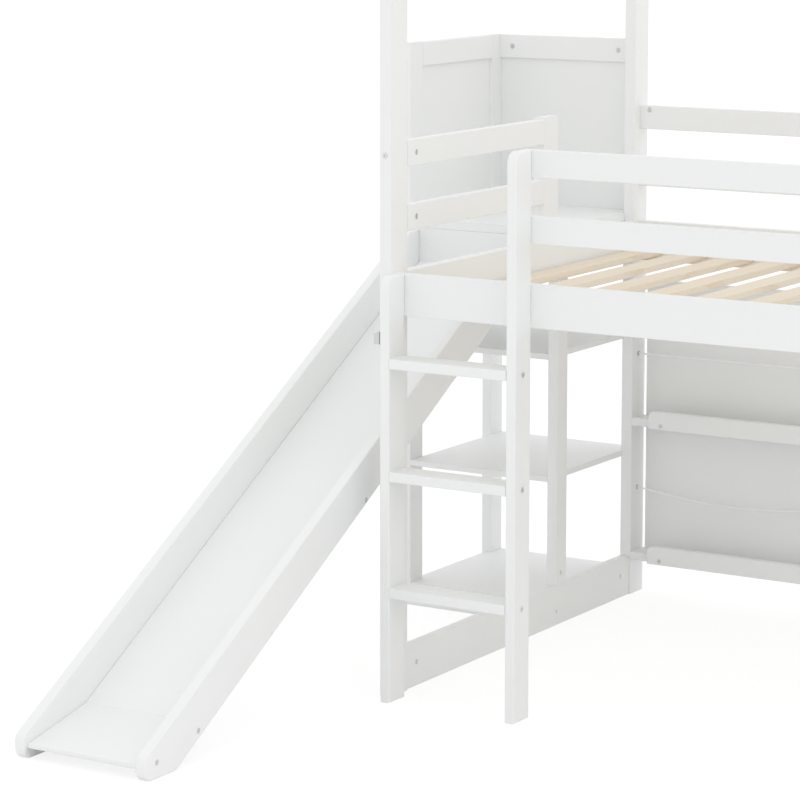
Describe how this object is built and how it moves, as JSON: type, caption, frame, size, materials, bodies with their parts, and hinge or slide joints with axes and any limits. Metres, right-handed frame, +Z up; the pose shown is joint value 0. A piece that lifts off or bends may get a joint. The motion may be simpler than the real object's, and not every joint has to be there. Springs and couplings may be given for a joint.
{
  "type": "loft bed with slide",
  "caption": "Low loft bed in white painted wood with a house roof frame, ladder, guard rails, a side tower with shelves and platform, a slide and a book rack.",
  "frame": {"origin": "on the floor, at the middle of the whole bed's outline seen from above, slide and tower included", "axes": "+X along the bed, from the tower's side to the other end; +Y from the ladder's side to the back; +Z up"},
  "size_m": [2.334, 1.805, 2.082],
  "materials": {
    "painted_wood": "satin white paint on solid wood",
    "painted_panel": "satin white paint on board",
    "bare_pine": "planed bare pine",
    "zinc_steel": "zinc-plated steel",
    "cord": "white braided cord"
  },
  "bodies": {
    "root": {"post_front_left": "painted_wood", "post_back_left": "painted_wood", "post_front_right": "painted_wood", "post_back_right": "painted_wood", "rail_front": "painted_wood", "rail_back": "painted_wood", "rail_end_left": "painted_wood", "rail_end_right": "painted_wood", "rail_bottom_left": "painted_wood", "rail_bottom_right": "painted_wood", "guard_front_upper": "painted_wood", "guard_front_lower": "painted_wood", "guard_back_upper": "painted_wood", "guard_back_lower": "painted_wood", "guard_left_upper": "painted_wood", "guard_left_lower": "painted_wood", "guard_left_post": "painted_wood", "guard_right_upper": "painted_wood", "guard_right_lower": "painted_wood", "ladder_stile_short": "painted_wood", "ladder_stile_tall": "painted_wood", "ladder_rung_1": "painted_wood", "ladder_rung_2": "painted_wood", "ladder_rung_3": "painted_wood", "tower_post_front": "painted_wood", "tower_post_rear": "painted_wood", "tower_post_middle": "painted_wood", "tower_fascia": "painted_wood", "tower_rail_left": "painted_wood", "tower_rail_back": "painted_wood", "tower_plinths": "painted_wood", "side_panel_rail": "painted_wood", "back_panel_rail": "painted_wood", "slide_board_far": "painted_wood", "slide_board_near": "painted_wood", "rack_ledges": "painted_wood", "rack_lips": "painted_wood", "roof_rafters": "painted_wood", "roof_beams": "painted_wood", "platform_board": "painted_panel", "side_panel": "painted_panel", "back_panel": "painted_panel", "shelf_bottom": "painted_panel", "shelf_middle": "painted_panel", "shelf_top": "painted_panel", "slide_deck": "painted_panel", "slide_runout": "painted_panel", "rack_panel": "painted_panel", "slats": "bare_pine", "support_battens": "bare_pine", "bolts": "zinc_steel", "barrel_nuts": "zinc_steel", "screws": "zinc_steel", "screw_eyes": "zinc_steel", "cord_rings": "zinc_steel", "shelf_pins": "zinc_steel", "side_bracket": "zinc_steel", "cord_upper": "cord", "cord_lower": "cord", "cord_knots": "cord"}
  },
  "joints": []
}
